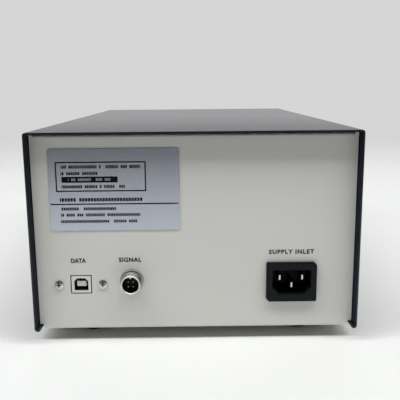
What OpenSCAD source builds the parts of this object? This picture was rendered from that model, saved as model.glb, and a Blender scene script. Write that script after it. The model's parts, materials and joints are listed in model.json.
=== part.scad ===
// Bench coating thickness gauge: a folded steel chassis under a folded cover, with a mains
// inlet, a data socket and a sensor socket on its rear panel, and a display, keys and a
// power switch on its front panel. Front faces -Y, rear faces +Y, feet stand on Z = 0.

/* [Case] */
// Outer width of the cover
case_w = 200; // [190:1:240]
// Depth of the cover from its front edge to its rear edge
case_d = 350; // [320:1:420]
// Height from the underside of the base to the top of the cover
case_h = 124; // [120:1:160]
// How far the front and rear panels sit inside the cover's edges
recess = 7; // [6:0.5:12]

/* [Sheet metal] */
// Thickness of the cover sheet
cover_t = 1.5; // [1:0.1:2]
// Thickness of the chassis sheet
chassis_t = 1.5; // [1:0.1:2]
// Inside radius of every fold
bend_r = 0.4; // [0.3:0.1:1.2]
// Gap between the cover and the chassis
cover_gap = 0.4; // [0.2:0.1:0.8]
// Height of the cover's lower edge above the underside of the base
cover_lift = 1; // [0.6:0.1:2]
// Straight length of the lip turned in along the cover's lower edge
lip_len = 0.5; // [0.4:0.1:3]
// Width of the flanges turned back along the panels' upper edges, and of the angles behind their sides
return_w = 12; // [10:0.5:16]
// Height of the angles behind the panels' sides that take the cover's screws
tab_h = 20; // [16:1:40]
// Height of the cover screws above the underside of the base
cover_screw_z = 30; // [20:1:60]

/* [Feet] */
// Height of a foot
foot_h = 8; // [6:0.5:14]
// Diameter of a foot where it meets the base
foot_d = 18; // [15:0.5:24]
// Diameter of a foot where it meets the table
foot_tread_d = 15; // [13:0.5:18]
// Distance from the cover's side to the foot's centre
foot_inset_x = 32; // [24:1:40]
// Distance from the cover's end to the foot's centre
foot_inset_y = 31; // [26:1:50]

/* [Mains inlet] */
// Distance from the rear panel's right edge to the middle of the inlet
inlet_side = 38.6; // [34:0.1:48]
// Middle of the inlet above the underside of the base
inlet_z = 29.9; // [24:0.1:45]
// Width of the inlet's flange
inlet_flange_w = 31.2; // [30:0.1:34]
// Height of the inlet's flange
inlet_flange_h = 25; // [24:0.1:28]
// Thickness of the inlet's flange
inlet_flange_t = 3; // [2:0.1:4]
// Width of the plug cavity
inlet_cavity_w = 24; // [23.5:0.1:24.6]
// Height of the plug cavity
inlet_cavity_h = 16; // [15.5:0.1:16.6]
// Depth of the plug cavity below the flange's face
inlet_cavity_d = 16.5; // [15:0.5:18]

/* [Data socket] */
// Distance from the rear panel's left edge to the middle of the data socket
data_side = 26.9; // [26:0.1:32]
// Middle of the data socket above the underside of the base
data_z = 29.2; // [22:0.1:45]
// Width of the socket's metal body
data_w = 12; // [11.5:0.1:12.5]
// Height of the socket's metal body
data_h = 10.9; // [10.5:0.1:11.5]
// Distance between the two fixing screws
data_screw_pitch = 27.2; // [26:0.1:30]

/* [Sensor socket] */
// Distance from the middle of the data socket to the middle of the sensor socket
sensor_step = 31.7; // [29:0.1:45]
// Middle of the sensor socket above the underside of the base
sensor_z = 31.6; // [22:0.1:45]
// Outside diameter of the socket's threaded barrel
sensor_d = 12; // [11:0.5:14]
// How far the barrel stands out of the panel
sensor_reach = 10; // [8:0.1:12]

/* [Rating plate] */
// Distance from the rear panel's left edge to the rating plate
plate_side = 10.2; // [6:0.1:16]
// Middle of the rating plate above the underside of the base
plate_z = 88.9; // [82:0.1:92]
// Width of the rating plate
plate_w = 79; // [60:0.5:84]
// Height of the rating plate
plate_h = 50; // [40:0.5:54]

/* [Display] */
// Distance from the front panel's left edge to the opening that shows the display
display_side = 27.1; // [25:0.1:30]
// Room between the opening that shows the display and the keypad's board
display_room = 24; // [20:0.5:30]
// Middle of the display above the underside of the base
display_z = 70; // [64:0.5:74]
// Height of the opening that shows the display
view_h = 48; // [42:0.5:52]
// Thickness of the clear window
window_t = 2; // [1.5:0.1:3]

/* [Keys] */
// Distance from the front panel's right edge to the middle of the keypad
keypad_side = 38.1; // [36:0.1:42]
// Middle of the keypad above the underside of the base
keypad_z = 76; // [74:0.5:80]
// Distance between key centres
key_pitch = 24; // [20:0.5:25]
// Width and height of a key's face
key_w = 13; // [11:0.5:15]
// How far a key stands out of the panel
key_reach = 3; // [2.6:0.1:4]
// How far a key travels
key_travel = 1.2; // [0.8:0.1:1.6]

/* [Power switch] */
// Distance from the front panel's right edge to the middle of the power switch
switch_side = 26.1; // [22:0.1:38]
// Middle of the power switch above the underside of the base
switch_z = 21; // [18:0.5:22]
// Width of the switch's flange
switch_w = 15; // [14:0.1:17]
// Height of the switch's flange
switch_h = 21; // [20:0.1:23]
// Tilt of the rocker to each side of its middle
rocker_tilt = 10; // [6:0.5:12]

/* [Circuit boards] */
// Width of the main board
board_w = 92; // [80:1:94]
// Depth of the main board
board_d = 175; // [140:1:185]
// Thickness of every circuit board
board_t = 1.6; // [1.2:0.1:2]
// Height of the standoffs under the main board
standoff_h = 8; // [5:0.5:12]

/* [Transformer] */
// Width of the transformer's core
core_w = 66; // [57:0.5:68]
// Height of the transformer's core
core_h = 55; // [48:0.5:58]
// Thickness of the stack of core plates
core_stack = 35; // [26:0.5:40]

/* [Hidden] */
$fn = 64;

// Colours
cover_colour = [0.12, 0.13, 0.16];
panel_colour = [0.76, 0.76, 0.73];
rubber_colour = [0.05, 0.05, 0.05];
black_plastic = [0.06, 0.06, 0.07];
white_plastic = [0.85, 0.86, 0.84];
key_colour = [0.20, 0.22, 0.26];
nickel = [0.78, 0.77, 0.74];
zinc = [0.72, 0.72, 0.70];
brass = [0.80, 0.66, 0.34];
plate_silver = [0.62, 0.64, 0.68];
board_green = [0.05, 0.30, 0.16];
copper = [0.60, 0.30, 0.16];
core_steel = [0.35, 0.36, 0.38];

// Fits
slip = 0.05;
fit_gap = 0.2;
past = 1;

// Planes of the case
base_z = foot_h;
floor_z = base_z + chassis_t;
rear_y = case_d / 2 - recess;
cover_top = base_z + case_h;
cover_bend = bend_r + cover_t;
chassis_bend = bend_r + chassis_t;
panel_half = case_w / 2 - cover_t - cover_gap;
panel_flat = panel_half - chassis_bend;
panel_top = cover_top - cover_t - cover_gap;

// Places on the panels, right of each panel's middle as seen from outside; the display's
// opening takes the room that the keypad leaves
key_board_side = 15;
key_board_end = 14;
key_board_w = key_pitch + 2 * key_board_side;
key_board_h = 2 * key_pitch + 2 * key_board_end;
inlet_x = panel_half - inlet_side;
data_x = data_side - panel_half;
sensor_x = data_x + sensor_step;
plate_x = plate_side + plate_w / 2 - panel_half;
keypad_x = panel_half - keypad_side;
switch_x = panel_half - switch_side;
view_w = keypad_x - key_board_w / 2 - display_room + panel_half - display_side;
display_x = display_side + view_w / 2 - panel_half;

// The lip along the cover's lower edge leans inwards, four up for three across
lip_run = 3 / 5;
lip_climb = 4 / 5;
lip_turn = 90 + atan2(4, 3);
lip_reach = cover_bend * (1 + lip_climb) + lip_len * lip_run;
lip_rise = cover_bend * (1 - lip_run) + lip_len * lip_climb + cover_t * lip_run;
base_half = case_w / 2 - lip_reach - cover_gap;
notch_z = base_z + cover_lift + lip_rise + cover_gap;
notch_chamfer = 1.2;
tab_lap = 7;

// Screws, by shank radius and head radius and height
m3_r = 1.5;
m3_hole_r = 1.7;
m3_head_r = 2.6;
m3_head_h = 1.5;
m3_nut_w = 5.5;
m3_nut_h = 2.4;
cross_w = 0.8;
cross_len = 3.2;
cross_d = 1.1;

cover_screw_len = 7;
cover_screw_y = rear_y - return_w / 2;

// Feet
foot_x = case_w / 2 - foot_inset_x;
foot_y = case_d / 2 - foot_inset_y;
foot_pocket_r = 4.2;
foot_seat_h = foot_h / 2;
foot_edge_r = 1;

// Mains inlet, to the usual three-pole pattern
inlet_body_w = inlet_cavity_w + 3;
inlet_body_h = inlet_cavity_h + 4;
inlet_floor_t = 3.5;
inlet_chamfer = 4.6;
inlet_corner_r = 0.8;
inlet_corner_cut = 1.8;
inlet_bevel = 0.6;
inlet_clip_w = 1.2;
inlet_clip_h = 9;
inlet_clip_d = 4;
inlet_pin_x = 7;
inlet_line_y = 2.2;
inlet_earth_y = -1.8;
inlet_pin_t = 2;
inlet_pin_h = 4;
inlet_pin_below = 3.6;
inlet_earth_lead = 2.4;
inlet_taper = 1.5;
inlet_tab_t = 0.8;
inlet_tab_h = 4.8;
inlet_tab_len = 7.5;
inlet_back = inlet_flange_t - inlet_cavity_d - inlet_floor_t;

// Data socket: a square receptacle with two cut corners
data_clear = 0.7;
data_sunk = 0.4;
data_depth = 15;
data_mouth_w = 8.6;
data_mouth_h = 7.8;
data_mouth_cut = 1.9;
data_plug_d = 9.5;
tongue_w = 5.7;
tongue_h = 3.3;
tongue_sunk = 1.6;
contact_w = 0.9;
contact_t = 0.25;
contact_len = 6;
contact_pitch = 2.5;
ear_t = 3;
ear_h = 13;
ear_margin = 4.4;
carrier_wall = 2.2;
data_screw_len = chassis_t + ear_t + m3_nut_h + past;
data_corner_r = 0.4;
ear_r = 2;
carrier_r = 1.5;
contact_in = 0.6;

// Sensor socket
sensor_wall = 1;
sensor_bore_r = sensor_d / 2 - sensor_wall;
sensor_flange_lap = 1.3;
sensor_flange_r = sensor_d / 2 + sensor_flange_lap;
sensor_flange_t = 2.2;
sensor_rear = 8;
sensor_hole_r = sensor_d / 2 + fit_gap;
sensor_cavity_d = 6;
sensor_edge = 0.5;
sensor_key_w = 1.3;
sensor_key_h = 0.9;
sensor_pin_r = 0.5;
sensor_pin_at = 1.6;
sensor_pin_below = 2;
sensor_pin_tail = 4;
sensor_washer_lap = 3;
sensor_washer_r = sensor_d / 2 + sensor_washer_lap;
sensor_washer_t = 0.6;
sensor_nut_lap = 1.5;
sensor_nut_w = sensor_d + 2 * sensor_nut_lap;
sensor_insert_tail = 1;
sensor_nut_h = 3;

plate_t = 0.4;
plate_r = 2;

// Display stack, from the panel inwards
window_lap = 5;
view_r = 2;
frame_lap = 3;
frame_w = view_w + 2 * frame_lap;
frame_h = view_h + 2 * frame_lap;
frame_d = 7;
frame_lip = 1;
frame_wall = 1;
frame_mouth_in = 4;
glass_t = 5;
display_front = -chassis_t - window_t;
display_back = display_front - frame_d;
display_board_side = 7;
display_board_end = 6;
board_r = 2;
display_board_w = view_w + 2 * window_lap + 2 * display_board_side;
display_board_h = view_h + 2 * window_lap + 2 * display_board_end;
display_post_r = 2.4;
display_post_gap = 1;
display_post_x = view_w / 2 + window_lap + display_post_r + display_post_gap;
display_post_y = view_h / 2 + window_lap + display_post_r + fit_gap;
post_bore_r = 1.3;
small_screw_r = 1.2;
small_screw_len = 6;
small_head_r = 2.2;
small_head_h = 1.5;

// Keys, from the panel inwards
key_names = ["key_menu", "key_up", "key_down", "key_enter", "key_start", "key_stop"];
key_columns = 2;
key_r = 1.8;
key_dish_r = 45;
key_dish = 0.5;
key_flange_lap = 1;
key_flange_t = 1.2;
key_stem_r = 1.7;
key_stem_len = 6;
switch_body_w = 12;
switch_body_d = 5.5;
switch_nose_gap = 1;
key_flange_back = -chassis_t - fit_gap - key_flange_t;
switch_front = key_flange_back - key_travel - switch_nose_gap;
key_board_front = switch_front - switch_body_d;
key_post_r = 2.4;
key_post_in = 4;

// Power switch
switch_lap = 1;
switch_flange_t = 2;
switch_frame = 2.3;
switch_body_gap = 0.2;
switch_body_deep = 13;
switch_corner_r = 1;
rocker_w = switch_w - 2 * switch_frame - 2 * fit_gap;
rocker_r = switch_h / 2 - switch_frame - fit_gap;
rocker_clear = 0.3;
rocker_axis = 0.5;
rocker_valley = 2;
rocker_tail = 3;
pivot_r = 1.5;
pivot_len = 1.2;
terminal_w = 4.8;
terminal_t = 0.8;
terminal_len = 7.5;
terminal_pitch = 8;

// Main board, kept clear of the transformer beside it
board_side_gap = 4;
board_x = panel_half - board_side_gap - board_w / 2;
board_front_gap = 34;
board_y = -rear_y + board_front_gap + board_d / 2;
board_z = floor_z + standoff_h;
board_top = board_z + board_t;
board_hole_in = 5;
standoff_w = 5.5;

sink_w = 40;
sink_d = 12;
sink_h = 30;
sink_base_t = 3;
fin_t = 1.2;
fins = 7;
sink_in = 32;
sink_back = 24;
sink_x = board_x + board_w / 2 - sink_in;
sink_y = board_y + board_d / 2 - sink_back;
transistor_w = 10;
transistor_h = 15;
transistor_t = 4.5;
transistor_lift = 8;
capacitor_r = 8;
capacitor_h = 25;
capacitor_pitch = 20;
capacitor_in = 18;
capacitor_back = 22;
capacitor_x = board_x - board_w / 2 + capacitor_in;
capacitor_y = board_y + board_d / 2 - capacitor_back;
chip_w = 14;
chip_t = 1.6;

// Transformer, stood behind the mains inlet
frame_t = 1.5;
ear_reach = 9;
core_side_gap = 3;
core_x = core_w / 2 + frame_t + ear_reach + core_side_gap - base_half;
core_back = 62;
core_y = rear_y - core_back;
winding_proud = 9;
winding_side = 6;
winding_end = 9;
transformer_z = floor_z + frame_t;

// Leads and flat cables inside the case
lead_sides = 10;
lead_steps = 4;
lead_soft = 5;
lead_reference = [0.35, 0.5, 0.79];
mains_lead_r = 3;
mains_lead_lift = 14;
mains_lead_in = 5;
mains_lead_gap = 7;
mains_lead_turn = 5.5;
mains_lead_z = base_z + mains_lead_lift;
mains_lead_x = mains_lead_in - base_half;
mains_lead_y = -rear_y + board_front_gap - mains_lead_gap;
data_lead_r = 2.2;
sensor_lead_r = 1.8;
lead_run = 40;
lead_ramp = 15;
lead_land = 5;
ribbon_w = 14;
ribbon_t = 1;
ribbon_in = 4;
ribbon_drop = 21;
ribbon_drop_y = ribbon_drop - rear_y;
plug_d = 6;
plug_h = 7;
plug_in = 9;

// A point on the rear panel, seen from behind: right, up, and outwards as local x, y, z
module on_rear(x, z) {
    translate([-x, rear_y, base_z + z]) rotate([90, 0, 180]) children();
}

// A point on the front panel, seen from the front: right, up, and outwards
module on_front(x, z) {
    translate([x, -rear_y, base_z + z]) rotate([90, 0, 0]) children();
}

// A rectangle with round corners about the origin
module rounded_rect(w, h, r) {
    square([w - 2 * r, h], center = true);
    square([w, h - 2 * r], center = true);
    for (sx = [-1, 1], sy = [-1, 1])
        translate([sx * (w / 2 - r), sy * (h / 2 - r)]) circle(r);
}

// A block of rounded rectangle between two heights
module slab(w, h, r, z0, z1) {
    translate([0, 0, z0]) linear_extrude(z1 - z0) rounded_rect(w, h, r);
}

// A plain block about the z axis between two heights
module block(w, h, z0, z1) {
    translate([-w / 2, -h / 2, z0]) cube([w, h, z1 - z0]);
}

// A ring sector of a fold: it starts below the centre and turns left
module fold_sector(turn, t, r) {
    far = 3 * (r + t);
    intersection() {
        difference() {
            circle(r + t);
            circle(r);
        }
        polygon([[0, 0], for (k = [0:3]) far * [sin(k * turn / 3), -cos(k * turn / 3)]]);
    }
}

// A strip of sheet that runs along x with its inside to the left, folded left after each leg
module fold_strip(legs, turns, t, r, i = 0) {
    if (legs[i] > 0) square([legs[i], t]);
    if (i < len(turns)) translate([legs[i], t + r]) {
        fold_sector(turns[i], t, r);
        rotate(turns[i]) translate([0, -t - r]) fold_strip(legs, turns, t, r, i + 1);
    }
}

// A pan-head screw that points down, with its head's seat at the origin
module pan_screw(shank_r, shank_len, head_r, head_h) {
    difference() {
        union() {
            translate([0, 0, -shank_len]) cylinder(r = shank_r, h = shank_len + past / 2);
            intersection() {
                cylinder(r = head_r, h = head_h);
                translate([0, 0, head_h - 2 * head_r]) sphere(2 * head_r);
            }
        }
        for (turn = [0, 90]) rotate(turn)
            block(cross_len, cross_w, head_h - cross_d, head_h + past);
    }
}

module hex(width, height) {
    cylinder(d = width / cos(30), h = height, $fn = 6);
}

module m3_nut() {
    difference() {
        hex(m3_nut_w, m3_nut_h);
        translate([0, 0, -past]) cylinder(r = m3_r + slip, h = m3_nut_h + 2 * past);
    }
}

// Case
module chassis_strip() {
    legs = [
        return_w - chassis_bend,
        panel_top - base_z - 2 * chassis_bend,
        2 * (rear_y - chassis_bend),
        panel_top - base_z - 2 * chassis_bend,
        return_w - chassis_bend
    ];
    translate([return_w - rear_y, panel_top]) rotate(180)
        fold_strip(legs, [90, 90, 90, 90], chassis_t, bend_r);
}

// The rear panel's right-hand edge, and behind it the angle that the cover is screwed to
module side_edge() {
    inner_y = rear_y - chassis_t;
    edge_w = panel_half - panel_flat;
    bend_z = panel_top - chassis_bend;
    translate([panel_half, rear_y - return_w, base_z + cover_screw_z - tab_h / 2])
        linear_extrude(tab_h) rotate(90)
            fold_strip([inner_y - rear_y + return_w - chassis_bend, tab_lap - chassis_bend], [90],
                chassis_t, bend_r);
    translate([panel_flat - past, inner_y, notch_z])
        cube([edge_w + past, chassis_t, bend_z - notch_z]);
    translate([panel_flat, inner_y, bend_z - past]) cube([edge_w, chassis_t, chassis_bend + past]);
}

module cover_screw_places() {
    for (side = [0, 1], end = [-1, 1])
        mirror([side, 0, 0]) translate([case_w / 2, end * cover_screw_y, base_z + cover_screw_z])
            rotate([0, 90, 0]) children();
}

module foot_places() {
    for (sx = [-1, 1], sy = [-1, 1]) translate([sx * foot_x, sy * foot_y, 0]) children();
}

// The corners of the folded strip that the cover's lips leave no room for
module chassis_notches() {
    deep = 2 * rear_y + 2 * past;
    for (side = [0, 1]) mirror([side, 0, 0]) {
        translate([base_half, -deep / 2, base_z - past])
            cube([panel_half, deep, notch_z - base_z + past]);
        for (end = [0, 1]) mirror([0, end, 0])
            translate([base_half, rear_y - chassis_bend - past, base_z]) rotate([0, 45, 0])
                translate([-notch_chamfer / 2, 0, -notch_chamfer / 2])
                    cube([notch_chamfer, chassis_bend + 2 * past, notch_chamfer]);
    }
}

module rear_cutouts() {
    deep = chassis_t + 2 * past;
    on_rear(inlet_x, inlet_z)
        block(inlet_body_w + 2 * fit_gap, inlet_body_h + 2 * fit_gap, -deep, past);
    on_rear(data_x, data_z) {
        block(data_w + 2 * data_clear, data_h + 2 * data_clear, -deep, past);
        for (side = [-1, 1]) translate([side * data_screw_pitch / 2, 0, -deep])
            cylinder(r = m3_hole_r, h = deep + past);
    }
    on_rear(sensor_x, sensor_z)
        translate([0, 0, -deep]) cylinder(r = sensor_hole_r, h = deep + past);
}

module front_cutouts() {
    deep = chassis_t + 2 * past;
    on_front(display_x, display_z) slab(view_w, view_h, view_r, -deep, past);
    for (i = [0:len(key_names) - 1]) on_key(i)
        slab(key_w + 2 * fit_gap, key_w + 2 * fit_gap, key_r, -deep, past);
    on_front(switch_x, switch_z)
        block(switch_w - 2 * switch_lap, switch_h - 2 * switch_lap, -deep, past);
}

module base_holes() {
    deep = chassis_t + 2 * past;
    translate([0, 0, base_z - past]) {
        foot_places() cylinder(r = m3_hole_r, h = deep);
        board_hole_places() cylinder(r = m3_hole_r, h = deep);
        transformer_hole_places() cylinder(r = m3_hole_r, h = deep);
    }
}

module chassis() {
    color(panel_colour) difference() {
        union() {
            translate([-panel_flat, 0, 0]) rotate([90, 0, 90])
                linear_extrude(2 * panel_flat) chassis_strip();
            for (side = [0, 1], end = [0, 1])
                mirror([side, 0, 0]) mirror([0, end, 0]) side_edge();
        }
        chassis_notches();
        rear_cutouts();
        front_cutouts();
        base_holes();
        cover_screw_places() translate([0, 0, -2 * return_w])
            cylinder(r = m3_r + slip, h = 2 * return_w);
    }
}

module top_cover() {
    wall = case_h - cover_lift - 2 * cover_bend;
    legs = [case_w / 2 - cover_bend, wall, lip_len];
    color(cover_colour) difference() {
        translate([0, case_d / 2, 0]) rotate([90, 0, 0]) linear_extrude(case_d)
            for (side = [0, 1]) mirror([side, 0]) translate([0, cover_top]) rotate(180)
                fold_strip(legs, [90, lip_turn], cover_t, bend_r);
        cover_screw_places() translate([0, 0, -cover_t - past])
            cylinder(r = m3_hole_r, h = cover_t + 2 * past);
    }
}

module cover_screws() {
    color(zinc) cover_screw_places() pan_screw(m3_r, cover_screw_len, m3_head_r, m3_head_h);
}

// Feet
module foot(sx, sy) {
    color(rubber_colour) translate([sx * foot_x, sy * foot_y, 0]) difference() {
        rotate_extrude() polygon([
            [0, 0], [foot_tread_d / 2 - foot_edge_r, 0], [foot_tread_d / 2, foot_edge_r],
            [foot_d / 2, foot_h], [0, foot_h]
        ]);
        translate([0, 0, -past]) cylinder(r = foot_pocket_r, h = foot_h - foot_seat_h + past);
        translate([0, 0, -past]) cylinder(r = m3_hole_r, h = foot_h + 2 * past);
    }
}

module foot_screws() {
    reach = foot_seat_h + chassis_t + m3_nut_h + past;
    color(zinc) foot_places() translate([0, 0, foot_h - foot_seat_h]) mirror([0, 0, 1])
        pan_screw(m3_r, reach, m3_head_r, m3_head_h);
}

module foot_nuts() {
    color(zinc) foot_places() translate([0, 0, floor_z]) m3_nut();
}

// Rear panel
module rating_plate() {
    color(plate_silver) on_rear(plate_x, plate_z) slab(plate_w, plate_h, plate_r, 0, plate_t);
}

// The outline of the inlet's flange: two opposite corners are cut off
module inlet_outline(inset) {
    w = inlet_flange_w / 2 - inset;
    h = inlet_flange_h / 2 - inset;
    difference() {
        rounded_rect(2 * w, 2 * h, inlet_corner_r);
        for (turn = [0, 180]) rotate(turn) translate([w, h]) rotate(45)
            square([inlet_corner_cut * sqrt(2), 4 * inlet_corner_cut], center = true);
    }
}

// The plug cavity: a rectangle with its two lower corners cut off
module inlet_cavity() {
    w = inlet_cavity_w / 2;
    h = inlet_cavity_h / 2;
    polygon([
        [-w, h], [-w, inlet_chamfer - h], [inlet_chamfer - w, -h],
        [w - inlet_chamfer, -h], [w, inlet_chamfer - h], [w, h]
    ]);
}

// The side view of a pin of that thickness, from its root to its tapered end
module inlet_pin_side(thickness, tip) {
    w = thickness / 2;
    end_w = w - inlet_pin_t / 4;
    polygon([
        [-w, inlet_back], [-w, tip - inlet_taper], [-end_w, tip],
        [end_w, tip], [w, tip - inlet_taper], [w, inlet_back]
    ]);
}

// One pin with its blade in the cavity and its solder tab behind the housing
module inlet_pin(x, y, tip) {
    color(nickel) on_rear(inlet_x, inlet_z) translate([x, y, 0]) {
        intersection() {
            translate([0, inlet_pin_h / 2, 0]) rotate([90, 0, 0]) linear_extrude(inlet_pin_h)
                inlet_pin_side(inlet_pin_t, tip);
            translate([-inlet_pin_t / 2, 0, 0]) rotate([90, 0, 90]) linear_extrude(inlet_pin_t)
                inlet_pin_side(inlet_pin_h, tip);
        }
        block(inlet_tab_t, inlet_tab_h, inlet_back - inlet_tab_len, inlet_back);
    }
}

module inlet_housing() {
    clip_x = inlet_body_w / 2 - past;
    clip_out = inlet_body_w / 2 + inlet_clip_w;
    clip_end = -chassis_t - inlet_clip_d;
    pins = [
        [-inlet_pin_x, inlet_line_y], [inlet_pin_x, inlet_line_y], [0, inlet_earth_y]
    ];
    color(black_plastic) on_rear(inlet_x, inlet_z) difference() {
        union() {
            linear_extrude(inlet_flange_t - inlet_bevel) inlet_outline(0);
            linear_extrude(inlet_flange_t) inlet_outline(inlet_bevel);
            block(inlet_body_w, inlet_body_h, inlet_back, past / 2);
            for (side = [0, 1]) mirror([side, 0, 0])
                translate([0, inlet_clip_h / 2, 0]) rotate([90, 0, 0]) linear_extrude(inlet_clip_h)
                    polygon([
                        [clip_x, -chassis_t], [clip_out, -chassis_t],
                        [inlet_body_w / 2, clip_end], [clip_x, clip_end]
                    ]);
        }
        translate([0, 0, inlet_flange_t - inlet_cavity_d])
            linear_extrude(inlet_cavity_d + past) inlet_cavity();
        for (p = pins) translate(p)
            block(inlet_pin_t + 2 * slip, inlet_pin_h + 2 * slip, inlet_back - past, 0);
    }
}

module inlet_line_pin() {
    inlet_pin(-inlet_pin_x, inlet_line_y, inlet_flange_t - inlet_pin_below);
}

module inlet_neutral_pin() {
    inlet_pin(inlet_pin_x, inlet_line_y, inlet_flange_t - inlet_pin_below);
}

module inlet_earth_pin() {
    inlet_pin(0, inlet_earth_y, inlet_flange_t - inlet_pin_below + inlet_earth_lead);
}

// The mouth of the data socket: its two upper corners are cut off
module data_mouth() {
    w = data_mouth_w / 2;
    h = data_mouth_h / 2;
    polygon([
        [-w, -h], [w, -h], [w, h - data_mouth_cut], [w - data_mouth_cut, h],
        [data_mouth_cut - w, h], [-w, h - data_mouth_cut]
    ]);
}

module data_socket_shell() {
    color(nickel) on_rear(data_x, data_z) difference() {
        slab(data_w, data_h, data_corner_r, -data_sunk - data_depth, -data_sunk);
        translate([0, 0, -data_sunk - data_depth - past])
            linear_extrude(data_depth + 2 * past) data_mouth();
    }
}

module data_socket_tongue() {
    plug_z = -data_sunk - data_plug_d;
    color(white_plastic) on_rear(data_x, data_z) {
        translate([0, 0, -data_sunk - data_depth])
            linear_extrude(data_depth - data_plug_d) data_mouth();
        block(tongue_w, tongue_h, plug_z - past, -data_sunk - tongue_sunk);
    }
}

module data_socket_contacts() {
    front = -data_sunk - tongue_sunk - contact_in;
    color(brass) on_rear(data_x, data_z)
        for (sx = [-1, 1], sy = [-1, 1])
            translate([sx * contact_pitch / 2, sy * (tongue_h + contact_t) / 2, 0])
                block(contact_w, contact_t, front - contact_len, front);
}

module data_socket_carrier() {
    ear_w = data_screw_pitch + 2 * ear_margin;
    back = -data_sunk - data_depth - slip;
    color(black_plastic) on_rear(data_x, data_z) difference() {
        union() {
            slab(ear_w, ear_h, ear_r, -chassis_t - ear_t, -chassis_t);
            slab(data_w + 2 * carrier_wall, data_h + 2 * carrier_wall, carrier_r,
                back - carrier_wall, -chassis_t - ear_t / 2);
        }
        block(data_w + 2 * slip, data_h + 2 * slip, back, past);
        for (side = [-1, 1]) translate([side * data_screw_pitch / 2, 0, back])
            cylinder(r = m3_hole_r, h = -back);
    }
}

module data_socket_screws() {
    color(nickel) on_rear(data_x, data_z) for (side = [-1, 1])
        translate([side * data_screw_pitch / 2, 0, 0])
            pan_screw(m3_r, data_screw_len, m3_head_r, m3_head_h);
}

module data_socket_nuts() {
    color(zinc) on_rear(data_x, data_z) for (side = [-1, 1])
        translate([side * data_screw_pitch / 2, 0, -chassis_t - ear_t - m3_nut_h]) m3_nut();
}

module sensor_barrel() {
    r = sensor_d / 2;
    color(nickel) on_rear(sensor_x, sensor_z) {
        rotate_extrude() polygon([
            [sensor_bore_r, -sensor_rear], [r, -sensor_rear], [r, 0],
            [sensor_flange_r, 0], [sensor_flange_r, sensor_flange_t], [r, sensor_flange_t],
            [r, sensor_reach - sensor_edge], [r - sensor_edge, sensor_reach],
            [sensor_bore_r, sensor_reach]
        ]);
        translate([0, sensor_bore_r - sensor_key_h / 2, 0])
            block(sensor_key_w, sensor_key_h + sensor_wall / 2,
                sensor_reach - sensor_cavity_d, sensor_reach - sensor_edge);
    }
}

module sensor_pin_places() {
    for (sx = [-1, 1], sy = [-1, 1])
        translate([sx * sensor_pin_at, sy * sensor_pin_at, 0]) children();
}

module sensor_insert() {
    back = -sensor_rear - sensor_insert_tail;
    face = sensor_reach - sensor_cavity_d;
    color(black_plastic) on_rear(sensor_x, sensor_z) difference() {
        translate([0, 0, back]) cylinder(r = sensor_bore_r - slip, h = face - back);
        sensor_pin_places() translate([0, 0, back - past])
            cylinder(r = sensor_pin_r + slip, h = face - back + 2 * past);
    }
}

module sensor_pins() {
    tail = -sensor_rear - sensor_pin_tail;
    tip = sensor_reach - sensor_pin_below - sensor_pin_r;
    color(nickel) on_rear(sensor_x, sensor_z) sensor_pin_places() {
        translate([0, 0, tail]) cylinder(r = sensor_pin_r, h = tip - tail);
        translate([0, 0, tip]) sphere(sensor_pin_r);
    }
}

module sensor_washer() {
    color(zinc) on_rear(sensor_x, sensor_z) translate([0, 0, -chassis_t - sensor_washer_t])
        difference() {
            cylinder(r = sensor_washer_r, h = sensor_washer_t);
            translate([0, 0, -past]) cylinder(r = sensor_hole_r, h = sensor_washer_t + 2 * past);
        }
}

module sensor_nut() {
    color(nickel) on_rear(sensor_x, sensor_z)
        translate([0, 0, -chassis_t - sensor_washer_t - sensor_nut_h]) difference() {
            hex(sensor_nut_w, sensor_nut_h);
            translate([0, 0, -past])
                cylinder(r = sensor_d / 2 + slip, h = sensor_nut_h + 2 * past);
        }
}

// Display
module display_post_places() {
    for (sx = [-1, 1], sy = [-1, 1])
        translate([sx * display_post_x, sy * display_post_y, 0]) children();
}

module display_window() {
    color([0.75, 0.82, 0.85, 0.35]) on_front(display_x, display_z)
        slab(view_w + 2 * window_lap, view_h + 2 * window_lap, view_r, display_front, -chassis_t);
}

module display_frame() {
    inner_w = frame_w - 2 * frame_wall;
    inner_h = frame_h - 2 * frame_wall;
    color(core_steel) on_front(display_x, display_z) difference() {
        block(frame_w, frame_h, display_back, display_front);
        block(frame_w - 2 * frame_mouth_in, frame_h - 2 * frame_mouth_in,
            display_back - past, display_front + past);
        block(inner_w, inner_h, display_back - past, display_front - frame_lip);
    }
}

module display_glass() {
    front = display_front - frame_lip;
    color([0.25, 0.32, 0.28]) on_front(display_x, display_z)
        block(frame_w - 2 * frame_wall - 2 * slip, frame_h - 2 * frame_wall - 2 * slip,
            front - glass_t, front);
}

module display_board() {
    color(board_green) on_front(display_x, display_z) difference() {
        slab(display_board_w, display_board_h, board_r, display_back - board_t, display_back);
        display_post_places() translate([0, 0, display_back - board_t - past])
            cylinder(r = post_bore_r, h = board_t + 2 * past);
    }
}

module display_spacers() {
    color(zinc) on_front(display_x, display_z) display_post_places() difference() {
        translate([0, 0, display_back]) cylinder(r = display_post_r, h = -chassis_t - display_back);
        translate([0, 0, display_back - past])
            cylinder(r = post_bore_r, h = small_screw_len + past);
    }
}

// Keys
module on_key(i) {
    column = i % key_columns;
    line = floor(i / key_columns);
    on_front(keypad_x + (column - 0.5) * key_pitch, keypad_z + (1 - line) * key_pitch) children();
}

module key(i) {
    color(key_colour) on_key(i) {
        difference() {
            slab(key_w, key_w, key_r, key_flange_back, key_reach);
            translate([0, 0, key_reach - key_dish + key_dish_r]) sphere(key_dish_r);
        }
        slab(key_w + 2 * key_flange_lap, key_w + 2 * key_flange_lap, key_r,
            key_flange_back, key_flange_back + key_flange_t);
        translate([0, 0, key_flange_back - key_stem_len])
            cylinder(r = key_stem_r, h = key_stem_len + past / 2);
    }
}

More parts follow.
